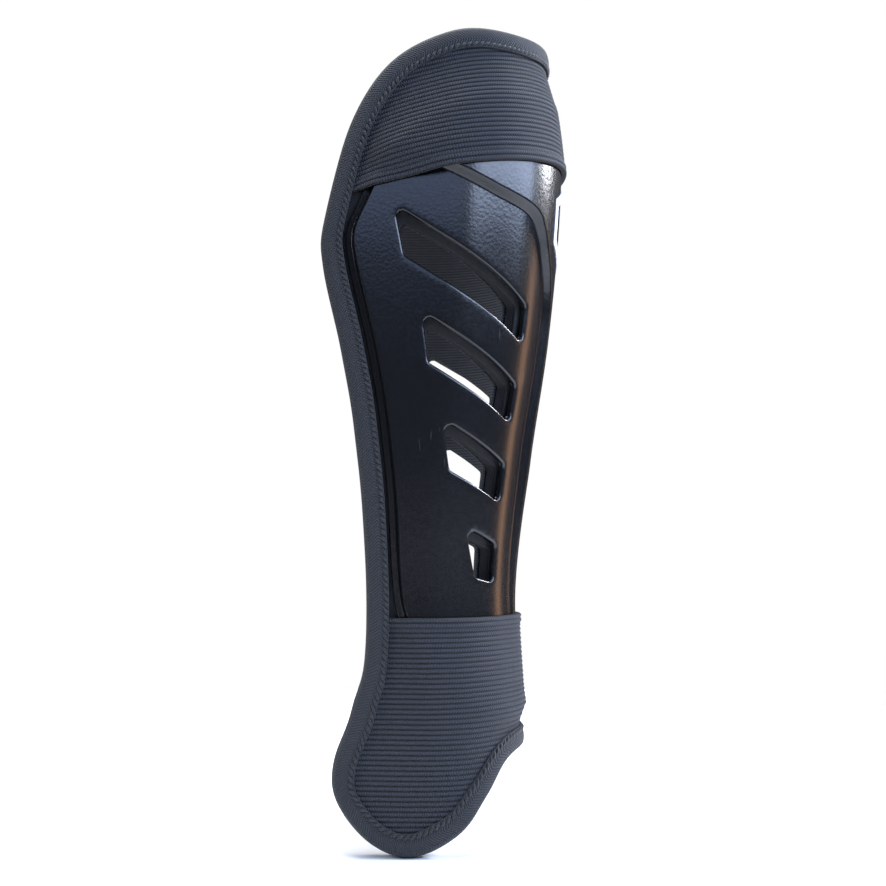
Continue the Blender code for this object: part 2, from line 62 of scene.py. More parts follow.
# ------------------------------------------------------------------ foam core
# The body of the pad is 5 mm closed-cell EVA foam, die-cut with eight vents and pressed thin where
# the edge tape grips it. It is matt and dark, with fine cells, and shows on the sides of the vents.
HEIGHT = 0.3258
CALF_WRAP, ANKLE_WRAP, LOBE_WRAP, ARCH = 0.1130, 0.0738, 0.0935, 0.0355
ANKLE_HALF_WIDTH, CALF_HALF_WIDTH, FRONT_LEAN, LEG_CURL = 0.0340, 0.0435, 0.0190, 0.130
LEG_PLACE = np.array((0.0, -0.0224035, 0.0000724))
LEG_SHAPE = np.array([
    (-0.05, -0.38, 0.32, 0.001), (0.00, -0.38, 0.32, 0.001), (0.14, -0.25, 0.22, 0.001),
    (0.19, -0.12, 0.16, 0.001), (0.31, 0.00, 0.00, 0.002), (0.46, -0.25, 0.33, 0.002),
    (0.62, -0.67, 0.74, 0.002), (0.77, -0.93, 1.00, 0.002), (0.89, -1.00, 0.96, 0.002),
    (1.00, -0.90, 0.76, 0.001), (1.05, -0.86, 0.66, 0.001)])
half_widths = ANKLE_HALF_WIDTH + (CALF_HALF_WIDTH - ANKLE_HALF_WIDTH) * LEG_SHAPE[:, 2]
LEG = np.column_stack((LEG_SHAPE[:, 0] * HEIGHT, LEG_SHAPE[:, 1] * FRONT_LEAN, half_widths,
                       half_widths - LEG_SHAPE[:, 3]))
FACE_FABRIC, FOAM, FOAM_AT_EDGE, LAYER_GAP, REST_GAP = 0.0006, 0.0050, 0.0020, 0.0003, 0.0005
TAPE, TAPE_WIDTH, PAD_IN_TAPE, CROWN_WIDTH = 0.0011, 0.0090, 0.0006, 0.0055
SLOT_COUNT, VENT_ROUND, VENT_ROLL, VENT_ROLL_WIDTH = 4, 0.0020, 0.0007, 0.0022
SLOT_LOW_FRONT, SLOT_FRONT_STEP = np.array((0.0258, 0.1973)), np.array((0.0010, 0.0316))
SLOT_LOW_REAR, SLOT_REAR_STEP = np.array((0.0800, 0.2290)), np.array((0.0160, 0.0414))
SLOT_FRONT_RISE, SLOT_REAR_RISE = (0.0002, 0.0152), (0.0059, 0.0194)
VENT_STEP_BACK, VENT_DROP_AT_REAR, VENT_DROP_AT_FRONT = 0.0015, 0.0045, 0.0010
OUTLINE_STEP, HOLE_STEP, PAD_STEP, PAD_ROW, PAD_FROM_EDGE = 0.0020, 0.0014, 0.0032, 0.0028, 0.0010
CROWN_LINE, VENT_LINE, TO_MM = 0.0060, 0.0009, 1000


def leg_point(q, z):
    """Points on the pad's outer face: a half ellipse in front, then legs that curl in a little."""
    span = np.clip(np.searchsorted(LEG[:, 0], z) - 1, 0, len(LEG) - 2)
    low, high = LEG[span], LEG[span + 1]
    before, after = LEG[np.maximum(span - 1, 0)], LEG[np.minimum(span + 2, len(LEG) - 1)]
    rise = (high - low)[:, :1]
    t = (z[:, None] - low[:, :1]) / rise
    slope_low = (high - before) / (high - before)[:, :1] * rise
    slope_high = (after - low) / (after - low)[:, :1] * rise
    shape = ((2 * t ** 3 - 3 * t ** 2 + 1) * low + (t ** 3 - 2 * t ** 2 + t) * slope_low
             + (3 * t ** 2 - 2 * t ** 3) * high + (t ** 3 - t ** 2) * slope_high)
    ridge, half_width, front_depth = shape[:, 1], shape[:, 2], shape[:, 3]
    radius = (half_width + front_depth) / 2
    angle = np.minimum(np.abs(q) / radius, math.pi / 2)
    past = np.maximum(np.abs(q) - radius * math.pi / 2, 0.0)
    x = half_width * np.sin(angle) * np.sqrt(1 - (past / LEG_CURL) ** 2)
    y = ridge + front_depth * (1 - np.cos(angle)) + past
    return np.column_stack((np.copysign(x, q), y, z)) + LEG_PLACE


def outward(plan):
    """Unit vectors square to the leg surface."""
    q, z = plan.T
    reach = 1e-4
    across = np.cross(leg_point(q + reach, z) - leg_point(q - reach, z),
                      leg_point(q, z + reach) - leg_point(q, z - reach))
    return across / np.linalg.norm(across, axis=1, keepdims=True)


def off_leg(plan, offset):
    return leg_point(*plan.T) + outward(plan) * np.reshape(offset, (-1, 1))


def smooth_run(keys, parts):
    """Points on a smooth curve through the keys, from the second one to the last but one."""
    run = []
    for a, b, c, d in zip(keys, keys[1:], keys[2:], keys[3:]):
        for t in np.arange(parts) / parts:
            run.append(0.5 * (2 * b + (c - a) * t + (2 * a - 5 * b + 4 * c - d) * t ** 2
                              + (3 * b - a - 3 * c + d) * t ** 3))
    return np.array(run + [keys[-2]])


def smooth_half(points, parts=8):
    """Smooth half outline that crosses q = 0 level at both ends."""
    keys = np.array(points)
    return smooth_run(np.vstack((keys[1] * (-1, 1), keys, keys[-2] * (-1, 1))), parts)


def spaced(loop, step):
    """The same closed outline with its points a step apart."""
    closed = np.vstack((loop, loop[:1]))
    reach = np.concatenate(([0.0], np.cumsum(np.hypot(*np.diff(closed, axis=0).T))))
    at = np.linspace(0.0, reach[-1], 2 * round(reach[-1] / step / 2) + 1)[:-1]
    return np.column_stack([np.interp(at, reach, closed[:, k]) for k in (0, 1)])


def both_sides(half, step):
    """Closed anticlockwise outline from a half that runs down the +q side."""
    return spaced(np.vstack((half[::-1], half[1:-1] * (-1, 1))), step)


def inset(loop, distance):
    """Moves an anticlockwise outline inwards."""
    along = np.roll(loop, -1, axis=0) - np.roll(loop, 1, axis=0)
    along /= np.linalg.norm(along, axis=1, keepdims=True)
    return loop + np.column_stack((-along[:, 1], along[:, 0])) * distance


def depth(plan, loop):
    """Distance of points from a closed outline, positive inside it."""
    nearest = np.full(len(plan), 1.0)
    within = np.zeros(len(plan), dtype=bool)
    q, z = plan.T
    for (q1, z1), (q2, z2) in zip(loop, np.roll(loop, -1, axis=0)):
        run, rise = q2 - q1, z2 - z1
        share = np.clip(((q - q1) * run + (z - z1) * rise) / (run * run + rise * rise), 0, 1)
        nearest = np.minimum(nearest, (q - q1 - run * share) ** 2 + (z - z1 - rise * share) ** 2)
        if rise:
            within ^= ((z1 > z) != (z2 > z)) & (q < q1 + (z - z1) / rise * run)
    return np.sqrt(nearest) * np.where(within, 1, -1)


def ease(x, bend=0.5):
    """0 to 1 in a straight run with a rounded bend at each end."""
    x = np.clip(x, 0, 1)
    run = 1 - bend
    low = x ** 2 / (2 * bend * run)
    high = 1 - (1 - x) ** 2 / (2 * bend * run)
    return np.where(x < bend, low, np.where(x > run, high, (x - bend / 2) / run))


def toward(start, end):
    """Unit vectors from one set of points to another."""
    run = end - start
    return run / np.linalg.norm(run, axis=-1, keepdims=True)


def slot_corners(index):
    """Corners of a diagonal slot: low at the front, high at the back, smaller towards the ankle."""
    low_front = SLOT_LOW_FRONT - SLOT_FRONT_STEP * index
    low_rear = SLOT_LOW_REAR - SLOT_REAR_STEP * index
    return np.array([low_front, low_rear, low_rear + SLOT_REAR_RISE, low_front + SLOT_FRONT_RISE])


def vent_corners(index):
    """Corners of the pad's hole behind a slot: level with it below and a little lower above."""
    low_front, low_rear, top_rear, top_front = slot_corners(index)
    step_back = VENT_STEP_BACK * (1 - index)
    return np.array([low_front + toward(low_front, low_rear) * step_back, low_rear,
                     top_rear + toward(top_rear, low_rear) * VENT_DROP_AT_REAR,
                     top_front + toward(top_front, top_rear) * step_back - (0, VENT_DROP_AT_FRONT)])


def holes(corners_of, radius, step):
    """The same row of rounded holes on both sides of the guard, anticlockwise."""
    loops = []
    for index in range(SLOT_COUNT):
        corners = corners_of(index)
        back = toward(corners, np.roll(corners, 1, axis=0))
        ahead = toward(corners, np.roll(corners, -1, axis=0))
        half_turn = np.arccos(np.sum(back * ahead, axis=1))[:, None] / 2
        centres = corners + toward(0 * back, back + ahead) * radius / np.sin(half_turn)
        starts = corners + back * radius / np.tan(half_turn) - centres
        ends = corners + ahead * radius / np.tan(half_turn) - centres
        arc = [toward(0 * starts, starts * (1 - t) + ends * t) * radius + centres
               for t in np.linspace(0, 1, 7)]
        loop = spaced(np.array(arc).transpose(1, 0, 2).reshape(-1, 2), step)
        loops += [loop, loop[::-1] * (-1, 1)]
    return loops


def nearest_edge(plan, loops):
    """Distance from the nearest of several holes, for points outside them."""
    return np.minimum.reduce([-depth(plan, loop) for loop in loops])


def rows_of_points(outline, step, row_step, clear_of):
    """Staggered rows of points inside an outline, none of them too near those in clear_of."""
    low, high = outline.min(axis=0), outline.max(axis=0)
    points = []
    for row, z in enumerate(np.arange(low[1], high[1], row_step)):
        q = np.arange(low[0] + row % 2 * step / 2, high[0], step)
        points.append(np.column_stack((q, np.full(len(q), z))))
    points = np.vstack(points)
    taken = KDTree(len(clear_of))
    for i, (q, z) in enumerate(clear_of):
        taken.insert((q, z, 0.0), i)
    taken.balance()
    far = [taken.find((q, z, 0.0))[2] > row_step * 0.6 for q, z in points]
    return points[np.array(far)]


def triangulate(loops, points):
    """Triangles of the area inside the first loop and outside the others."""
    everything = np.vstack([*loops, points])
    edges, first = [], 0
    for loop in loops:
        ids = np.arange(len(loop)) + first
        edges += zip(ids.tolist(), np.roll(ids, -1).tolist())
        first += len(loop)
    flat, _, triangles, *_ = delaunay_2d_cdt(
        [Vector(p) for p in everything.tolist()], edges, [], 0, 1e-8)
    flat = np.array([tuple(p) for p in flat])
    triangles = np.array(triangles)
    middles = flat[triangles].mean(axis=1)
    kept = depth(middles, loops[0]) > 0
    for loop in loops[1:]:
        kept &= depth(middles, loop) < 0
    triangles = triangles[kept]
    used, triangles = np.unique(triangles, return_inverse=True)
    return flat[used], triangles.reshape(-1, 3)


def closed_sheet(name, flat, triangles, outer, inner, material):
    """A thin closed piece between two copies of a flat sheet, mapped in millimetres."""
    count = len(flat)
    walls = {}
    for a, b, c in triangles.tolist():
        for edge in ((a, b), (b, c), (c, a)):
            if edge[::-1] in walls:
                del walls[edge[::-1]]
            else:
                walls[edge] = True
    faces = triangles.tolist() + (triangles[:, ::-1] + count).tolist()
    faces += [(b, a, a + count, b + count) for a, b in walls]
    mesh = bpy.data.meshes.new(name)
    mesh.from_pydata(np.vstack((outer, inner)).tolist(), [], faces)
    corners = np.empty(len(mesh.loops), dtype=np.int32)
    mesh.loops.foreach_get("vertex_index", corners)
    laid_flat = mesh.uv_layers.new(name="cut_flat")
    laid_flat.data.foreach_set("uv", (flat[corners % count] * TO_MM).astype(np.float32).ravel())
    mesh.materials.append(material)
    mesh.shade_smooth()
    mesh.set_sharp_from_angle(angle=math.radians(38))
    piece = bpy.data.objects.new(name, mesh)
    bpy.context.scene.collection.objects.link(piece)
    return piece


def srgb(code):
    """Linear colour from an sRGB hex code."""
    channels = [int(code[k:k + 2], 16) / 255 for k in (1, 3, 5)]
    linear = [c / 12.92 if c < 0.04045 else ((c + 0.055) / 1.055) ** 2.4 for c in channels]
    return (*linear, 1)


def new_material(name):
    material = bpy.data.materials.new(name)
    material.use_nodes = True
    return material, material.node_tree, material.node_tree.nodes["Principled BSDF"]


def feed(tree, node, inputs):
    """Fills a node's inputs. Each is a plain value, or the socket that feeds it."""
    for place, value in inputs.items():
        if isinstance(value, bpy.types.NodeSocket):
            tree.links.new(value, node.inputs[place])
        else:
            node.inputs[place].default_value = value
    return node


def add(tree, kind, inputs=(), **settings):
    """One node with its settings and inputs."""
    node = tree.nodes.new(kind)
    for setting, value in settings.items():
        setattr(node, setting, value)
    return feed(tree, node, dict(inputs))


def ramp(tree, value, low, high, span=(0.0, 1.0)):
    """Colour that runs from one sRGB code to another as a value runs over a span."""
    node = add(tree, "ShaderNodeValToRGB", {"Fac": value})
    for stop, code, place in zip(node.color_ramp.elements, (low, high), span):
        stop.color = srgb(code)
        stop.position = place
    return node.outputs["Color"]


def relief(tree, height, strength, distance):
    """Normal of a surface that a height pattern raises by up to a distance."""
    return add(tree, "ShaderNodeBump", {"Height": height, "Strength": strength,
                                        "Distance": distance}).outputs["Normal"]


# EVA foam, sliced from a block: dark grey and quite matt, with open cells about 0.35 mm across.
eva_foam, tree, shader = new_material("eva_foam_sliced")
spot = add(tree, "ShaderNodeTexCoord").outputs["Object"]
cells = add(tree, "ShaderNodeTexVoronoi", {"Vector": spot, "Scale": 2800.0}).outputs["Distance"]
feed(tree, shader, {"Base Color": ramp(tree, cells, "#0d0e10", "#1b1c20"), "Roughness": 0.88,
                    "Normal": relief(tree, cells, 0.6, 0.00012)})

guard_half = smooth_half([
    (0.0, HEIGHT), (CALF_WRAP * 0.294, HEIGHT * 0.990), (CALF_WRAP * 0.549, HEIGHT * 0.981),
    (CALF_WRAP * 0.780, HEIGHT * 0.940), (CALF_WRAP * 0.930, HEIGHT * 0.8625),
    (CALF_WRAP, HEIGHT * 0.749), (CALF_WRAP * 0.984, HEIGHT * 0.690),
    (CALF_WRAP * 0.875, HEIGHT * 0.590), (CALF_WRAP * 0.779, HEIGHT * 0.502),
    (ANKLE_WRAP * 1.061, HEIGHT * 0.394), (ANKLE_WRAP, HEIGHT * 0.302),
    (ANKLE_WRAP * 1.033, HEIGHT * 0.222), (LOBE_WRAP * 0.888, HEIGHT * 0.170),
    (LOBE_WRAP * 0.990, HEIGHT * 0.108), (LOBE_WRAP * 0.987, HEIGHT * 0.062),
    (LOBE_WRAP * 0.861, HEIGHT * 0.016), (LOBE_WRAP * 0.690, 0.0),
    (LOBE_WRAP * 0.490, ARCH * 0.23), (LOBE_WRAP * 0.359, ARCH * 0.60),
    (LOBE_WRAP * 0.225, ARCH * 0.945), (0.0, ARCH)])
guard_outline = both_sides(guard_half, OUTLINE_STEP)
pad_outline = inset(guard_outline, TAPE + LAYER_GAP + PAD_IN_TAPE)
vents = holes(vent_corners, VENT_ROUND, HOLE_STEP)
under_tape = inset(guard_outline, TAPE_WIDTH + REST_GAP)
crown = inset(guard_outline, TAPE_WIDTH + CROWN_LINE)
pad_loops = [pad_outline] + vents
pad_lines = np.vstack([under_tape, crown, *[inset(vent, -VENT_LINE) for vent in vents]])
pad_points = rows_of_points(pad_outline, PAD_STEP, PAD_ROW, np.vstack([*pad_loops, pad_lines]))
pad_points = pad_points[(depth(pad_points, pad_outline) > PAD_FROM_EDGE)
                        & (nearest_edge(pad_points, vents) > PAD_FROM_EDGE)]
pad_flat, pad_triangles = triangulate(pad_loops, np.vstack((pad_points, pad_lines)))
past_tape = depth(pad_flat, under_tape)
from_vent = nearest_edge(pad_flat, vents)
vent_roll = VENT_ROLL * (1 - ease(from_vent / VENT_ROLL_WIDTH)) ** 2
foam_front = -FACE_FABRIC - LAYER_GAP - vent_roll
foam_rear = (-FACE_FABRIC - LAYER_GAP - FOAM_AT_EDGE
             - (FOAM - FOAM_AT_EDGE) * ease(past_tape / CROWN_WIDTH) + vent_roll)
foam_pad = closed_sheet("foam_pad", pad_flat, pad_triangles, off_leg(pad_flat, foam_front),
                        off_leg(pad_flat, foam_rear), eva_foam)
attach(foam_pad, "root")
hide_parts("foam_core")


# ------------------------------------------------------------------ face fabric
# A plain warp knit is laminated to the front of the foam. It is thin and black with a slight
# sheen, rolls over at the edges of the vents, and shows inside the shell's slots.


def maths(tree, operation, *values):
    """Result of a maths node. Each value is a number, or the socket that feeds it."""
    return add(tree, "ShaderNodeMath", dict(enumerate(values)), operation=operation).outputs[0]


def wave(tree, place, pitch):
    """Sine wave along a place in millimetres."""
    return maths(tree, "SINE", maths(tree, "MULTIPLY", place, 2 * math.pi / pitch))


def on_cloth(tree):
    """Place on a cloth laid flat, in millimetres: both ways together, along it and across it."""
    laid = add(tree, "ShaderNodeUVMap", uv_map="cut_flat").outputs["UV"]
    axes = add(tree, "ShaderNodeSeparateXYZ", {0: laid}).outputs
    return laid, axes["X"], axes["Y"]


# Tricot knit, polyester: near black, with wales 0.6 mm apart that catch a soft light.
tricot, tree, shader = new_material("tricot_knit")
laid, along, across = on_cloth(tree)
loop_height = maths(tree, "MULTIPLY", wave(tree, along, 0.6), wave(tree, across, 0.5))
feed(tree, shader, {"Base Color": srgb("#0d0e11"), "Roughness": 0.8, "Sheen Weight": 0.06,
                    "Normal": relief(tree, loop_height, 0.5, 0.00008)})

face = closed_sheet("pad_face", pad_flat, pad_triangles, off_leg(pad_flat, -vent_roll),
                    off_leg(pad_flat, -FACE_FABRIC - vent_roll), tricot)
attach(face, "root")
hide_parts("pad_front_fabric")


# ------------------------------------------------------------------ lining
# The side against the leg is a ribbed jersey, laid loosely over the foam and caught by the edge
# tape and at the vents, so that it crowns up a little between them.
LINING, LINING_PUFF, VENT_HOLD, SETTLE_STEPS = 0.0008, 0.0016, 0.0012, 18


def settled(points, triangles, held, furthest):
    """Lets a cloth swell off its backing where it isn't held, and caps how far it moves."""
    mesh = bpy.data.meshes.new("settling")
    mesh.from_pydata(points.tolist(), [], triangles.tolist())
    cloth = bpy.data.objects.new("settling", mesh)
    bpy.context.scene.collection.objects.link(cloth)
    group = cloth.vertex_groups.new(name="held")
    group.add(np.flatnonzero(held).tolist(), 1.0, "REPLACE")
    modifier = cloth.modifiers.new("cloth", "CLOTH")
    settings = modifier.settings
    settings.quality = 4
    settings.mass = 0.08
    settings.tension_stiffness = 12
    settings.compression_stiffness = 6
    settings.shear_stiffness = 4
    settings.bending_stiffness = 0.05
    settings.shrink_min = -0.018
    settings.use_pressure = True
    settings.uniform_pressure_force = 2.0
    settings.vertex_group_mass = "held"
    settings.effector_weights.gravity = 0.0
    modifier.collision_settings.use_collision = False
    for step in range(SETTLE_STEPS):
        bpy.context.scene.frame_set(step + 1)
    settled_mesh = cloth.evaluated_get(bpy.context.evaluated_depsgraph_get()).to_mesh()
    moved = np.empty(len(points) * 3)
    settled_mesh.vertices.foreach_get("co", moved)
    bpy.data.objects.remove(cloth)
    bpy.context.scene.frame_set(1)
    shift = moved.reshape(-1, 3) - points
    length = np.linalg.norm(shift, axis=1, keepdims=True)
    return shift * np.minimum(1, furthest / np.maximum(length, 1e-9))


# Ribbed jersey, polyester: ribs 1.25 mm apart run round the leg, grey-black on top, darker between;
# the lighter tops are a painted highlight and the darker grooves are painted shade.
jersey, tree, shader = new_material("ribbed_jersey")
laid, along, across = on_cloth(tree)
rib_count = maths(tree, "DIVIDE", across, 1.25)
rib_wave = maths(tree, "SINE", maths(tree, "MULTIPLY", rib_count, math.pi))
rib_round = maths(tree, "ABSOLUTE", rib_wave)
surface = maths(tree, "MULTIPLY_ADD", wave(tree, along, 0.8), 0.18, rib_round)
# The ramp paints shade into the grooves and a highlight on the rib tops.
feed(tree, shader, {"Base Color": ramp(tree, rib_round, "#050608", "#2b2e36", (0.0, 0.75)),
                    "Roughness": 0.86, "Sheen Weight": 0.08,
                    "Normal": relief(tree, surface, 0.9, 0.00022)})

lining_outer = foam_rear - LAYER_GAP - vent_roll
lining_rest = off_leg(pad_flat, lining_outer - LINING)
shift = np.zeros_like(lining_rest)
caught = (past_tape < 0) | (from_vent < VENT_HOLD)
shift = settled(lining_rest, pad_triangles[:, ::-1], caught, LINING_PUFF)
inward = -np.sum(shift * outward(pad_flat), axis=1, keepdims=True)
shift += outward(pad_flat) * np.minimum(inward, 0)
lining = closed_sheet("pad_lining", pad_flat, pad_triangles,
                      off_leg(pad_flat, lining_outer) + shift, lining_rest + shift, jersey)
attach(lining, "root")
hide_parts("inner_lining")


# ------------------------------------------------------------------ moulded shell
# One injection-moulded half tube of black polypropylene. A raised spine flares into a panel at the
# top, four diagonal slots are cut on each side, and a thin flange runs round the edge.
SHELL_WALL, SHELL_EDGE_WALL, SHELL_TOP, SHELL_FOOT = 0.0022, 0.0012, 0.3020, 0.0490
FLANGE_WIDTH, FLANGE_FLAT, FLANGE_RISE = 0.0040, 0.0022, 0.0010
PANEL_RISE, PANEL_RISER, PANEL_FADE, PANEL_FLARE = 0.0034, 0.0030, 0.0300, 0.2360
SPINE_HALF_WIDTH, SPINE_FOOT_HALF_WIDTH = 0.0110, 0.0095
SPINE_FOOT_RISE, SPINE_FADE = 0.0005, 0.1000
SIDE_GAP, POCKET_GAP, SLOT_ROUND, RIM_ROUND, SLOT_RIM_ROUND = 0.0010, 0.0034, 0.0020, 0.0006, 0.0010
BAND_EDGE, BAND_DROP, BAND_LEVEL, LOWER_EDGE = 0.2728, 0.235, 0.025, 0.0893
RIM_STEP, SHELL_STEP, SHELL_ROW = 0.0015, 0.0018, 0.0016


def upper_edge(q):
    """Free edge of the upper band: level across the front, then falling steadily to the sides."""
    return BAND_EDGE - BAND_DROP * (np.hypot(q, BAND_LEVEL) - BAND_LEVEL)


def widest_at(z, loop):
    crossing = [q1 + (z - z1) / (z2 - z1) * (q2 - q1)
                for (q1, z1), (q2, z2) in zip(loop, np.roll(loop, -1, axis=0))
                if min(z1, z2) <= z <= max(z1, z2) and z1 != z2]
    return max(crossing)


open_edge = inset(guard_outline, TAPE_WIDTH + SIDE_GAP)
pocket_edge = inset(guard_outline, TAPE_WIDTH + POCKET_GAP)
upper_tuck = float(upper_edge(CALF_WRAP))
upper_width, lower_width = widest_at(upper_tuck, pocket_edge), widest_at(LOWER_EDGE, pocket_edge)
shell_keys = [(0.0, SHELL_TOP)]
for share, down in ((0.30, 0.04), (0.58, 0.18), (0.80, 0.42), (0.93, 0.70), (1.0, 1.0)):
    shell_keys.append((upper_width * share, SHELL_TOP - (SHELL_TOP - upper_tuck) * down))
for share in (0.92, 0.84, 0.72, 0.60, 0.48, 0.36, 0.24, 0.12):
    level = LOWER_EDGE + (upper_tuck - LOWER_EDGE) * share
    shell_keys.append((widest_at(level, open_edge), level))
for share, down in ((1.0, 0.0), (0.90, 0.40), (0.76, 0.72), (0.50, 0.93)):
    shell_keys.append((lower_width * share, LOWER_EDGE - (LOWER_EDGE - SHELL_FOOT) * down))
shell_keys.append((0.0, SHELL_FOOT))
shell_outline = both_sides(smooth_half(shell_keys, parts=6), RIM_STEP)

side = widest_at(BAND_EDGE, guard_outline)
rise = BAND_EDGE - PANEL_FLARE
panel_half = np.array([
    (side, SHELL_TOP + rise), (side, BAND_EDGE + rise * 0.10),
    (side * 0.76, BAND_EDGE - rise * 0.12), (side * 0.59, BAND_EDGE - rise * 0.34),
    (side * 0.44, BAND_EDGE - rise * 0.53), (side * 0.29, BAND_EDGE - rise * 0.66),
    (side * 0.24, BAND_EDGE - rise * 0.80), (side * 0.20, BAND_EDGE - rise),
    (SPINE_HALF_WIDTH * 1.15, PANEL_FLARE - rise * 0.5), (SPINE_HALF_WIDTH, PANEL_FLARE - rise),
    (SPINE_HALF_WIDTH, PANEL_FLARE - rise * 2),
    (SPINE_FOOT_HALF_WIDTH, SHELL_FOOT + rise), (SPINE_FOOT_HALF_WIDTH, SHELL_FOOT - rise)])
rounded_panel = np.vstack((panel_half[:2], smooth_run(panel_half[1:], 6), panel_half[-1:]))
panel = spaced(np.vstack((rounded_panel[::-1], rounded_panel * (-1, 1))), HOLE_STEP)
shell_slots = holes(slot_corners, SLOT_ROUND, HOLE_STEP)


def fillet(distance, radius):
    """How far a rounded edge drops at a distance in from it."""
    x = np.clip(1 - distance / radius, 0, 1)
    return radius * (1 - np.sqrt(1 - x ** 2))


def panel_rise(z):
    """Height of the raised panel, which sinks into the shell at its top and at the spine's foot."""
    at_top = PANEL_RISE * np.clip((SHELL_TOP - z) / PANEL_FADE, 0, 1)
    up_spine = np.clip((z - SHELL_FOOT) / SPINE_FADE, 0, 1)
    return np.minimum(at_top, SPINE_FOOT_RISE + (PANEL_RISE - SPINE_FOOT_RISE) * up_spine)


def shell_face(plan):
    """Outer face of the shell without its rounded edges."""
    from_edge = depth(plan, shell_outline)
    off_flange = ease((from_edge - FLANGE_FLAT) / (FLANGE_WIDTH - FLANGE_FLAT), 0.3)
    on_panel = ease(depth(plan, panel) / PANEL_RISER, 0.22)
    return (REST_GAP + SHELL_EDGE_WALL + (FLANGE_RISE + SHELL_WALL - SHELL_EDGE_WALL) * off_flange
            + panel_rise(plan[:, 1]) * on_panel * off_flange)


# Polypropylene, injection moulded in a leather-grained tool: deep black and semi-gloss, with flat
# pebbles about 1.3 mm across that are strongest near the top, and a few fine handling scuffs.
polypropylene, tree, shader = new_material("moulded_polypropylene")
spot = add(tree, "ShaderNodeTexCoord").outputs["Object"]
warp = add(tree, "ShaderNodeTexNoise", {"Vector": spot, "Scale": 420.0, "Detail": 2.0})
bent = add(tree, "ShaderNodeVectorMath", {0: warp.outputs["Color"], 1: (0.0004, 0.0004, 0.0004),
                                          2: spot}, operation="MULTIPLY_ADD")
pebbles = add(tree, "ShaderNodeTexVoronoi", {"Vector": bent.outputs[0], "Scale": 780.0,
                                             "Smoothness": 0.6}, feature="SMOOTH_F1")
height = add(tree, "ShaderNodeSeparateXYZ", {0: spot})
grain_top = add(tree, "ShaderNodeMapRange", {"Value": height.outputs["Z"], "From Min": 0.13,
                                             "From Max": 0.24, "To Min": 0.10, "To Max": 0.42})
swell = add(tree, "ShaderNodeTexNoise", {"Vector": spot, "Scale": 55.0, "Detail": 1.0})
grain = add(tree, "ShaderNodeBump", {"Height": pebbles.outputs["Distance"],
                                     "Strength": grain_top.outputs["Result"], "Distance": 0.00009},
            invert=True)
ripple = add(tree, "ShaderNodeBump", {"Height": swell.outputs["Fac"], "Strength": 0.12,
                                      "Distance": 0.0006, "Normal": grain.outputs["Normal"]})
streak_space = add(tree, "ShaderNodeMapping", {"Vector": spot, "Rotation": (0.6, 0.0, 0.0),
                                               "Scale": (260.0, 900.0, 130.0)})
streaks = add(tree, "ShaderNodeTexNoise", {"Vector": streak_space.outputs[0], "Scale": 1.0,
                                           "Detail": 0.0})
patches = add(tree, "ShaderNodeTexNoise", {"Vector": spot, "Scale": 28.0, "Detail": 1.0})
scuff = add(tree, "ShaderNodeMapRange", {
    "Value": maths(tree, "MULTIPLY", streaks.outputs["Fac"], patches.outputs["Fac"]),
    "From Min": 0.50, "From Max": 0.55})
dull = add(tree, "ShaderNodeMapRange", {"Value": pebbles.outputs["Distance"], "From Max": 0.7,
                                        "To Min": 0.21, "To Max": 0.27})
feed(tree, shader, {"Base Color": ramp(tree, scuff.outputs["Result"], "#0b0c0f", "#33353a"),
                    "Roughness": dull.outputs["Result"], "Normal": ripple.outputs["Normal"],
                    "IOR": 1.49})

# Rows of mesh points follow every bend, at these distances in from the edge that it runs along.
RIM_ROWS, SLOT_ROWS = (0.00012, 0.0003, 0.0006), (0.00012, 0.00035, 0.00065, 0.0010)
FLANGE_ROWS = (0.0021, 0.0026, 0.0031, 0.0035, 0.0039, 0.0043)
RISER_ROWS = (-0.0012, -0.0007, -0.0002, 0.0004, 0.0009, 0.0015, 0.0021, 0.0026, 0.0031, 0.0036,
              0.0041)
BEND_STEP, NEAREST_ROW = 0.0007, 0.0001
shell_guides = [inset(shell_outline, d) for d in RIM_ROWS]
shell_guides += [spaced(inset(shell_outline, d), BEND_STEP) for d in FLANGE_ROWS]
shell_guides += [spaced(inset(panel, d), BEND_STEP) for d in RISER_ROWS]
shell_guides += [inset(slot, -d) for slot in shell_slots for d in SLOT_ROWS]
shell_guides = np.vstack(shell_guides)
lines = np.vstack([shell_outline, shell_guides, *shell_slots])
shell_points = rows_of_points(shell_outline, SHELL_STEP, SHELL_ROW, lines)
shell_points = np.vstack((shell_points, shell_guides))
shell_points = shell_points[(depth(shell_points, shell_outline) > NEAREST_ROW)
                            & (nearest_edge(shell_points, shell_slots) > NEAREST_ROW)]
shell_flat, shell_triangles = triangulate([shell_outline] + shell_slots, shell_points)
from_rim = np.minimum(depth(shell_flat, shell_outline), 1.0)
from_slot = nearest_edge(shell_flat, shell_slots)
shell_outer = (shell_face(shell_flat) - fillet(from_rim, RIM_ROUND)
               - fillet(from_slot, SLOT_RIM_ROUND))
on_panel = panel_rise(shell_flat[:, 1]) * ease(depth(shell_flat, panel) / PANEL_RISER)
shell_inner = REST_GAP + (FLANGE_RISE + on_panel) * ease(from_rim / FLANGE_WIDTH)
shell = closed_sheet("moulded_shell", shell_flat, shell_triangles, off_leg(shell_flat, shell_outer),
                     off_leg(shell_flat, shell_inner), polypropylene)
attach(shell, "root")
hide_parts("front_shell")


# ------------------------------------------------------------------ panel badge
# A plain six-sided ring of pale film, heat-transferred on to the panel near its top.
BADGE_HEIGHT, BADGE_RADIUS, BADGE_BAND = 0.2500, 0.0180, 0.0040
FILM, FILM_GAP = 0.00022, 0.00006

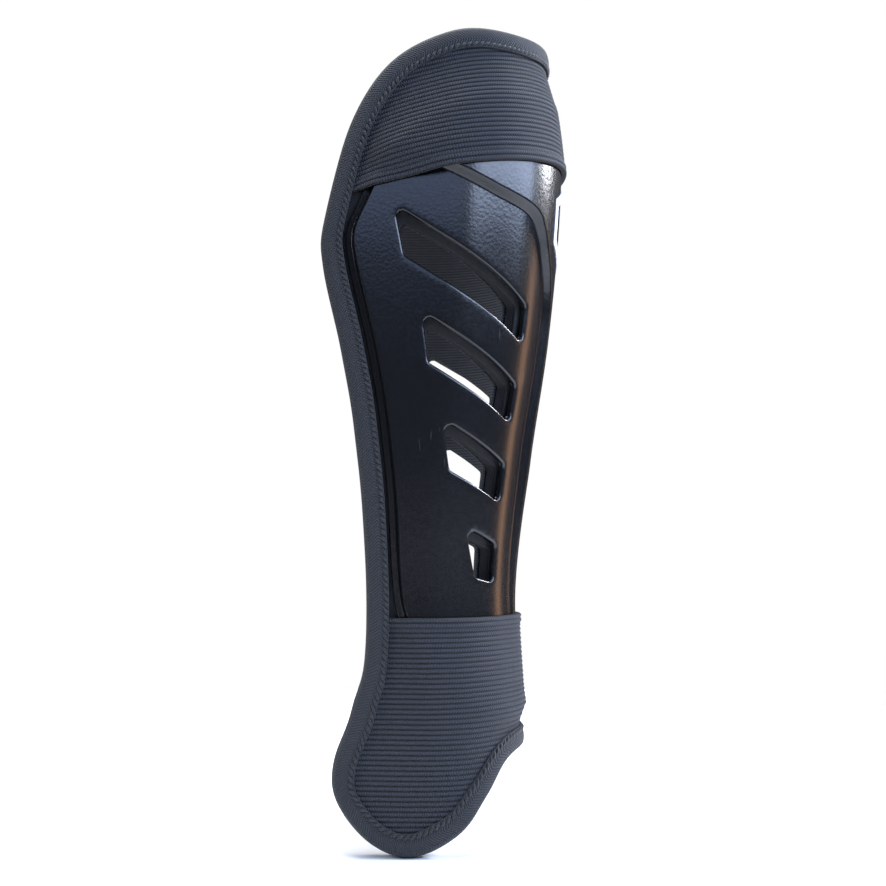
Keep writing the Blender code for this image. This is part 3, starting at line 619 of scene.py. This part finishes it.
# Transfer film, screen printed: off-white with an even satin face and a faint mottle.
film, tree, shader = new_material("transfer_film")
spot = add(tree, "ShaderNodeTexCoord").outputs["Object"]
mottle = add(tree, "ShaderNodeTexNoise", {"Vector": spot, "Scale": 900.0, "Detail": 3.0})
feed(tree, shader, {"Base Color": ramp(tree, mottle.outputs["Fac"], "#cfd1d6", "#e6e7ea"),
                    "Roughness": 0.42})

hexagon = [(math.sin(k * math.pi / 3), math.cos(k * math.pi / 3)) for k in range(6, 0, -1)]
rims = [spaced(np.array(hexagon) * radius, 0.0010) + (0.0, BADGE_HEIGHT)
        for radius in (BADGE_RADIUS, BADGE_RADIUS - BADGE_BAND)]
badge_points = rows_of_points(rims[0], 0.0011, 0.0010, np.vstack(rims))
badge_flat, badge_triangles = triangulate(rims, badge_points)
film_back = shell_face(badge_flat) + FILM_GAP
badge = closed_sheet("hexagon_transfer", badge_flat, badge_triangles,
                     off_leg(badge_flat, film_back + FILM), off_leg(badge_flat, film_back), film)
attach(badge, "root")
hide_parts("panel_badge")


# ------------------------------------------------------------------ elastic bands
# Two wide bands of ribbed woven elastic hold the shell down. Their ribs run round the leg, each
# free edge is folded under and sewn, and they stretch tight over the shell's edge and spine.
ELASTIC, RIB_PITCH, RIB_HEIGHT, RIB_ROWS, GIRTH_ROW = 0.0012, 0.0019, 0.00048, 6, 0.0022
HEM_WIDTH, HEM_LIFT, HEM_ROUND, HEM_SEAM = 0.0039, 0.00045, 0.0008, 0.0003
BAND_TENT, BAND_CLEARANCE, BAND_IN_TAPE, SHARE_UNSTRETCHED = 0.0140, 0.0003, 0.0015, 0.88

# Woven elastic, polyester over rubber: charcoal ribs 1.9 mm apart with short cross threads, with
# painted shade darkening the grooves and painted highlights on the thread crowns, and a faint sheen
# where the ribs are stretched.
webbing, tree, shader = new_material("ribbed_elastic_webbing")
laid, along, across = on_cloth(tree)
rib_count = maths(tree, "DIVIDE", across, RIB_PITCH * TO_MM)
off_centre = maths(tree, "SUBTRACT", maths(tree, "FRACT", rib_count), 0.5)
from_centre = maths(tree, "ABSOLUTE", off_centre)
slanted = maths(tree, "MULTIPLY_ADD", from_centre, 0.8, along)
stepped = maths(tree, "MULTIPLY_ADD", maths(tree, "FLOOR", rib_count), 0.37, slanted)
thread_wave = wave(tree, stepped, 0.95)
# Colour: painted shade in the grooves and painted highlights on the thread crowns, plus uneven
# wear.
on_rib = add(tree, "ShaderNodeMapRange", {"Value": from_centre, "From Min": 0.42, "From Max": 0.20})
painted_crown_light = maths(tree, "MULTIPLY_ADD", thread_wave, 0.42, on_rib.outputs[0])
wear = add(tree, "ShaderNodeTexNoise", {"Vector": laid, "Scale": 0.22, "Detail": 2.0})
painted_light_and_wear = maths(tree, "MULTIPLY_ADD", wear.outputs["Fac"], 0.20, painted_crown_light)
feed(tree, shader, {"Base Color": ramp(tree, painted_light_and_wear, "#050608", "#262a32", (0.30, 0.98)),
                    "Roughness": 0.78, "Sheen Weight": 0.05, "Sheen Roughness": 0.4,
                    "Normal": relief(tree, thread_wave, 0.9, 0.00016)})

tucked = inset(guard_outline, TAPE + LAYER_GAP + BAND_IN_TAPE)
over_panel = inset(panel, PANEL_RISER)
crease = inset(shell_outline, FLANGE_WIDTH)


def band_back(plan):
    """Inner face of a band, stretched from the tape to the shell's crease and over its spine."""
    from_tape = np.maximum(depth(plan, under_tape), 0)
    to_crease = np.maximum(-depth(plan, crease), 0)
    bridge = from_tape / np.maximum(from_tape + to_crease, REST_GAP)
    tent = ease(1 + depth(plan, over_panel) / BAND_TENT, 0.5)
    over_shell = FLANGE_RISE + SHELL_WALL + BAND_CLEARANCE + panel_rise(plan[:, 1]) * tent
    return REST_GAP + over_shell * ease(bridge, 0.12)


def build_band(name, node, sign, edge):
    """One band, cut to the tucked-in outline above or below its free edge."""
    keep = sign * (tucked[:, 1] - edge(tucked[:, 0]))
    first = int(np.flatnonzero((keep > 0) & (np.roll(keep, 1) <= 0))[0])
    loop, keep = np.roll(tucked, -first, axis=0), np.roll(keep, -first)
    count = int(np.flatnonzero(keep <= 0)[0])
    ends = []
    for inner, outer in ((0, -1), (count - 1, count)):
        share = keep[inner] / (keep[inner] - keep[outer])
        ends.append(loop[inner] + (loop[outer] - loop[inner]) * share)
    steps = round(abs(ends[0][0] - ends[1][0]) / GIRTH_ROW)
    free = np.linspace(ends[1][0], ends[0][0], steps + 1)[1:-1]
    outline = np.vstack((ends[0], loop[:count], ends[1], np.column_stack((free, edge(free)))))
    row = RIB_PITCH / RIB_ROWS
    stretch = np.array((row / GIRTH_ROW, 1.0))
    rib_plan = np.column_stack((outline[:, 0], sign * (outline[:, 1] - edge(outline[:, 0]))))
    reach = math.ceil(CALF_WRAP / GIRTH_ROW)
    q = np.arange(-reach, reach + 1) * GIRTH_ROW
    v = np.concatenate(((0.0001, 0.00022), np.arange(1, rib_plan[:, 1].max() / row) * row))
    points = np.array([(a, b) for b in v for a in q])
    points = points[depth(points * stretch, rib_plan * stretch) > row * 0.55]
    loop = rib_plan * stretch
    flat, triangles = triangulate([loop[::sign]], points * stretch)
    flat = flat / stretch
    plan = np.column_stack((flat[:, 0], sign * flat[:, 1] + edge(flat[:, 0])))
    if sign < 0:
        triangles = triangles[:, ::-1]
    v = flat[:, 1]
    phase = v / RIB_PITCH % 1 - 0.5
    ribs = RIB_HEIGHT * (1 - np.abs(2 * phase) ** 2.4)
    hem = HEM_LIFT * (1 - ease((v - HEM_WIDTH) / HEM_ROUND))
    sewn = HEM_SEAM * np.exp(-((v - HEM_WIDTH - HEM_SEAM) / HEM_SEAM) ** 2)
    back = band_back(plan)
    front = back + ELASTIC + ribs + hem - sewn - fillet(v, HEM_ROUND)
    band = closed_sheet(name, flat, triangles, off_leg(plan, front), off_leg(plan, back), webbing)
    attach(band, "root")
    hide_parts(node)


build_band("upper_elastic", "upper_elastic_band", 1, upper_edge)
build_band("lower_elastic", "lower_elastic_band", -1,
           lambda q: np.full(np.shape(q), LOWER_EDGE))


# ------------------------------------------------------------------ edge binding
# A herringbone polyester tape is folded over the raw edge of the pad, front to back, and holds the
# ends of both bands. The stitching pulls it in, so that it puffs between the stitches.
STITCH_PITCH, SEAM_INSET, ROWS_PER_STITCH = 0.0025, 0.0012, 3
FOLD_OUTSIDE, FOLD_INSIDE = 0.0026, 0.0015
PUCKER, PUCKER_WIDTH, PUFF, PUFF_WIDTH, PUFF_PLACE = 0.00022, 0.0016, 0.0004, 0.0022, 0.0048
FRONT_OF_TAPE = REST_GAP * 2 + ELASTIC
BACK_OF_TAPE = -FACE_FABRIC - FOAM_AT_EDGE - LINING - LAYER_GAP * 2 - REST_GAP

# Herringbone tape, polyester: charcoal, with V-shaped twill lines 1.1 mm apart in three rows along
# the tape, each twill thread with a painted highlight on its crown and painted shade between.
herringbone, tree, shader = new_material("herringbone_tape")
laid, along, across = on_cloth(tree)
row_place = maths(tree, "PINGPONG", maths(tree, "DIVIDE", across, 3.4), 1.0)
slant = maths(tree, "MULTIPLY_ADD", row_place, 2.6, along)
cloth_height = maths(tree, "MULTIPLY_ADD", wave(tree, across, 0.62), 0.45, wave(tree, slant, 1.15))
painted_twill_light = add(tree, "ShaderNodeMapRange", {"Value": cloth_height, "From Min": -1.3, "From Max": 1.3})
# The colour paints a highlight on each twill crown and shade in the hollows between.
feed(tree, shader, {
    "Base Color": ramp(tree, painted_twill_light.outputs["Result"], "#060709", "#282c34", (0.25, 1.0)),
    "Roughness": 0.75, "Sheen Weight": 0.05, "Normal": relief(tree, cloth_height, 0.8, 0.00012)})

tape_path = spaced(guard_outline, STITCH_PITCH / ROWS_PER_STITCH)
middle = (FRONT_OF_TAPE + BACK_OF_TAPE) / 2
half_thick = (FRONT_OF_TAPE - BACK_OF_TAPE) / 2
profile = []
for reach, tall, width in ((FOLD_OUTSIDE, half_thick + TAPE, 0.0), (FOLD_INSIDE, half_thick, TAPE)):
    side_line = [(d, tall) for d in (TAPE_WIDTH, 0.0082, 0.0070, 0.0056, 0.0041)]
    bend = [(width + reach - reach * math.cos(a), tall * math.sin(a))
            for a in np.linspace(math.pi / 2, -math.pi / 2, 13)]
    run = side_line + bend + [(d, -t) for d, t in reversed(side_line)]
    profile += run if width == 0.0 else run[::-1]
profile = np.array(profile)
stitch_phase = np.cos(np.arange(len(tape_path)) * 2 * math.pi / ROWS_PER_STITCH)
rings = []
for distance, height_off in profile:
    near_seam = math.exp(-((distance - TAPE_WIDTH + SEAM_INSET) / PUCKER_WIDTH) ** 2)
    outside = abs(height_off) > half_thick + TAPE / 2
    pull = near_seam * outside * PUCKER * (stitch_phase - 1.2)
    puff = PUFF * math.exp(-((distance - PUFF_PLACE) / PUFF_WIDTH) ** 2) * outside
    offset = middle + height_off + math.copysign(1, height_off) * (pull + puff)
    rings.append(off_leg(inset(tape_path, distance), offset))
rings = np.array(rings).transpose(1, 0, 2)
count, width = rings.shape[:2]
i, k = np.meshgrid(np.arange(count), np.arange(width), indexing="ij")
i2, k2 = (i + 1) % count, (k + 1) % width
faces = np.stack((i * width + k, i * width + k2, i2 * width + k2, i2 * width + k), axis=-1)
mesh = bpy.data.meshes.new("edge_tape")
mesh.from_pydata(rings.reshape(-1, 3).tolist(), [], faces.reshape(-1, 4).tolist())
spread = np.concatenate(([0.0], np.cumsum(np.hypot(*np.diff(profile, axis=0).T)))) * TO_MM
spread = np.append(spread, spread[-1] + TAPE * TO_MM)
along = np.arange(count + 1) * STITCH_PITCH / ROWS_PER_STITCH * TO_MM
corner_u = np.stack((along[i], along[i], along[i + 1], along[i + 1]), axis=-1)
corner_v = np.stack((spread[k], spread[k + 1], spread[k + 1], spread[k]), axis=-1)
laid_flat = mesh.uv_layers.new(name="cut_flat")
corner_places = np.stack((corner_u, corner_v), axis=-1)
laid_flat.data.foreach_set("uv", corner_places.astype(np.float32).ravel())
mesh.materials.append(herringbone)
mesh.shade_smooth()
tape = bpy.data.objects.new("edge_tape", mesh)
bpy.context.scene.collection.objects.link(tape)
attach(tape, "root")
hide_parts("edge_binding")


# ------------------------------------------------------------------ binding stitches
# A lockstitch in thick bonded thread runs round near the tape's inner edge, front and back. Each
# stitch is a short, plump, slightly slanted loop that dives into the tape at both ends.

# Bonded polyester thread: black with a dull shine and a fine twist.
thread, tree, shader = new_material("bonded_thread")
spot = add(tree, "ShaderNodeTexCoord").outputs["Object"]
twist = add(tree, "ShaderNodeTexNoise", {"Vector": spot, "Scale": 2600.0, "Detail": 1.0})
feed(tree, shader, {"Base Color": srgb("#090a0c"), "Roughness": 0.6, "Sheen Weight": 0.2,
                    "Normal": relief(tree, twist.outputs["Fac"], 0.6, 0.0001)})

stitcher = bpy.data.node_groups.new("stitch_row", "GeometryNodeTree")
stitcher.interface.new_socket(name="Path", in_out="INPUT", socket_type="NodeSocketGeometry")
for label, kind, value in (("Pitch", "NodeSocketFloat", STITCH_PITCH),
                           ("Stitch Length", "NodeSocketFloat", 0.0025),
                           ("Thread Radius", "NodeSocketFloat", 0.00046),
                           ("Slant", "NodeSocketFloat", 0.55),
                           ("Thread", "NodeSocketMaterial", None)):
    socket = stitcher.interface.new_socket(name=label, in_out="INPUT", socket_type=kind)
    if value is not None:
        socket.default_value = value
stitcher.interface.new_socket(name="Stitches", in_out="OUTPUT", socket_type="NodeSocketGeometry")
given = add(stitcher, "NodeGroupInput").outputs
line = add(stitcher, "GeometryNodeMeshToCurve", {"Mesh": given["Path"]})
walk = add(stitcher, "GeometryNodeResampleCurve",
           {"Curve": line.outputs[0], "Length": given["Pitch"]}, mode="LENGTH")
lift = add(stitcher, "GeometryNodeInputNamedAttribute", {"Name": "outward"},
           data_type="FLOAT_VECTOR")
heading = add(stitcher, "GeometryNodeInputTangent")
lie_along = add(stitcher, "FunctionNodeAlignRotationToVector", {"Vector": heading.outputs[0]},
                axis="X")
face_out = add(stitcher, "FunctionNodeAlignRotationToVector",
               {"Rotation": lie_along.outputs[0], "Vector": lift.outputs["Attribute"]},
               axis="Z", pivot_axis="X")
lean = add(stitcher, "ShaderNodeCombineXYZ", {"Z": given["Slant"]})
lean_turn = add(stitcher, "FunctionNodeEulerToRotation", {0: lean.outputs[0]})
turned = add(stitcher, "FunctionNodeRotateRotation",
             {0: face_out.outputs[0], 1: lean_turn.outputs[0]}, rotation_space="LOCAL")
half = maths(stitcher, "MULTIPLY", given["Stitch Length"], 0.5)
minus_half = maths(stitcher, "MULTIPLY", given["Stitch Length"], -0.5)
sink = maths(stitcher, "MULTIPLY", given["Thread Radius"], -0.9)
bulge = maths(stitcher, "MULTIPLY", given["Thread Radius"], 1.6)
start = add(stitcher, "ShaderNodeCombineXYZ", {"X": minus_half, "Z": sink})
top = add(stitcher, "ShaderNodeCombineXYZ", {"Z": bulge})
end = add(stitcher, "ShaderNodeCombineXYZ", {"X": half, "Z": sink})
arc = add(stitcher, "GeometryNodeCurveQuadraticBezier", {
    "Resolution": 6, "Start": start.outputs[0], "Middle": top.outputs[0], "End": end.outputs[0]})
section = add(stitcher, "GeometryNodeCurvePrimitiveCircle",
              {"Resolution": 7, "Radius": given["Thread Radius"]})
one_stitch = add(stitcher, "GeometryNodeCurveToMesh", {
    "Curve": arc.outputs[0], "Profile Curve": section.outputs[0], "Fill Caps": True})
placed = add(stitcher, "GeometryNodeInstanceOnPoints", {
    "Points": walk.outputs[0], "Instance": one_stitch.outputs[0], "Rotation": turned.outputs[0]})
real = add(stitcher, "GeometryNodeRealizeInstances", {0: placed.outputs[0]})
smooth = add(stitcher, "GeometryNodeSetShadeSmooth", {0: real.outputs[0]})
dyed = add(stitcher, "GeometryNodeSetMaterial",
           {"Geometry": smooth.outputs[0], "Material": given["Thread"]})
add(stitcher, "NodeGroupOutput", {0: dyed.outputs[0]})


def sew(name, node, offset, facing):
    """One row of stitches along the tape, kept as a plain mesh."""
    track = inset(tape_path, TAPE_WIDTH - SEAM_INSET)
    path = bpy.data.meshes.new("stitch_path")
    ids = np.arange(len(track))
    edges = np.column_stack((ids, np.roll(ids, -1)))
    path.from_pydata(off_leg(track, offset).tolist(), edges.tolist(), [])
    attribute = path.attributes.new("outward", "FLOAT_VECTOR", "POINT")
    attribute.data.foreach_set("vector", (outward(track) * facing).astype(np.float32).ravel())
    guide = bpy.data.objects.new("stitch_path", path)
    bpy.context.scene.collection.objects.link(guide)
    modifier = guide.modifiers.new("stitches", "NODES")
    modifier.node_group = stitcher
    for item in stitcher.interface.items_tree:
        if item.item_type == "SOCKET" and item.name == "Thread":
            modifier[item.identifier] = thread
    made = guide.evaluated_get(bpy.context.evaluated_depsgraph_get())
    mesh = bpy.data.meshes.new_from_object(made)
    mesh.name = name
    bpy.data.objects.remove(guide)
    stitches = bpy.data.objects.new(name, mesh)
    bpy.context.scene.collection.objects.link(stitches)
    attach(stitches, "root")
    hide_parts(node)


sew("front_stitching", "front_binding_seam", FRONT_OF_TAPE + TAPE, 1)
sew("rear_stitching", "rear_binding_seam", BACK_OF_TAPE - TAPE, -1)


# ------------------------------------------------------------------ studio
# A round pale floor in a pale surround. Cool soft boxes stand in front, at the near side and
# overhead, a small light and a card reach the far edge and the back, and a warm card draws a
# brown line down the shell's spine.
FLOOR_RADIUS, FLOOR_SIDES = 0.5, 64

# Painted board: off-white, matt, with a faint unevenness.
board, tree, shader = new_material("painted_board")
spot = add(tree, "ShaderNodeTexCoord").outputs["Object"]
uneven = add(tree, "ShaderNodeTexNoise", {"Vector": spot, "Scale": 2.0, "Detail": 2.0})
feed(tree, shader, {"Base Color": ramp(tree, uneven.outputs["Fac"], "#f2f2f2", "#f7f7f7"),
                    "Roughness": 0.9})

mesh = bpy.data.meshes.new("studio_floor")
turns = np.linspace(0, 2 * math.pi, FLOOR_SIDES + 1)[:-1]
rim = [(FLOOR_RADIUS * math.cos(a), FLOOR_RADIUS * math.sin(a), 0.0) for a in turns]
mesh.from_pydata(rim, [], [tuple(range(FLOOR_SIDES))])
mesh.materials.append(board)
floor = bpy.data.objects.new("studio_floor", mesh)
bpy.context.scene.collection.objects.link(floor)

world = bpy.data.worlds.new("studio_surround")
bpy.context.scene.world = world
world.use_nodes = True
tree = world.node_tree
tree.nodes.clear()
seen = add(tree, "ShaderNodeLightPath")
dim = add(tree, "ShaderNodeBackground", {"Color": srgb("#dfe6f0"), "Strength": 0.11})
bright = add(tree, "ShaderNodeBackground", {"Color": srgb("#ffffff"), "Strength": 1.0})
either = add(tree, "ShaderNodeMixShader", {0: seen.outputs["Is Camera Ray"], 1: dim.outputs[0],
                                           2: bright.outputs[0]})
add(tree, "ShaderNodeOutputWorld", {0: either.outputs[0]})

for name, place, aim, size, power, colour in (
        ("key_soft_box", (-0.34, -0.62, 0.56), (0.0, 0.0, 0.25), (0.95, 0.34), 13.0, "#c8dbff"),
        ("side_soft_box", (-0.86, 0.02, 0.52), (0.0, 0.0, 0.24), (0.70, 0.24), 1.7, "#b4ccff"),
        ("overhead_soft_box", (0.10, 0.10, 1.30), (0.0, 0.0, 0.0), (0.90, 0.90), 27.0, "#fbfcff"),
        ("edge_light", (0.36, -0.70, 0.60), (0.0, 0.0, 0.18), (0.20, 0.20), 7.0, "#f4f7ff"),
        ("rear_card", (-0.24, 0.82, 0.46), (0.0, 0.0, 0.22), (0.30, 0.30), 3.0, "#e3ecff"),
        ("warm_card", (0.40, -0.86, 0.10), (0.0, 0.0, 0.16), (0.15, 0.55), 1.7, "#c79a78")):
    lamp = bpy.data.lights.new(name, "AREA")
    lamp.shape = "RECTANGLE"
    lamp.size, lamp.size_y = size
    lamp.energy = power
    lamp.color = srgb(colour)[:3]
    light_object = bpy.data.objects.new(name, lamp)
    light_object.location = place
    light_object.rotation_euler = (Vector(aim) - Vector(place)).to_track_quat("-Z", "Y").to_euler()
    bpy.context.scene.collection.objects.link(light_object)
bpy.context.scene.view_settings.view_transform = "Standard"
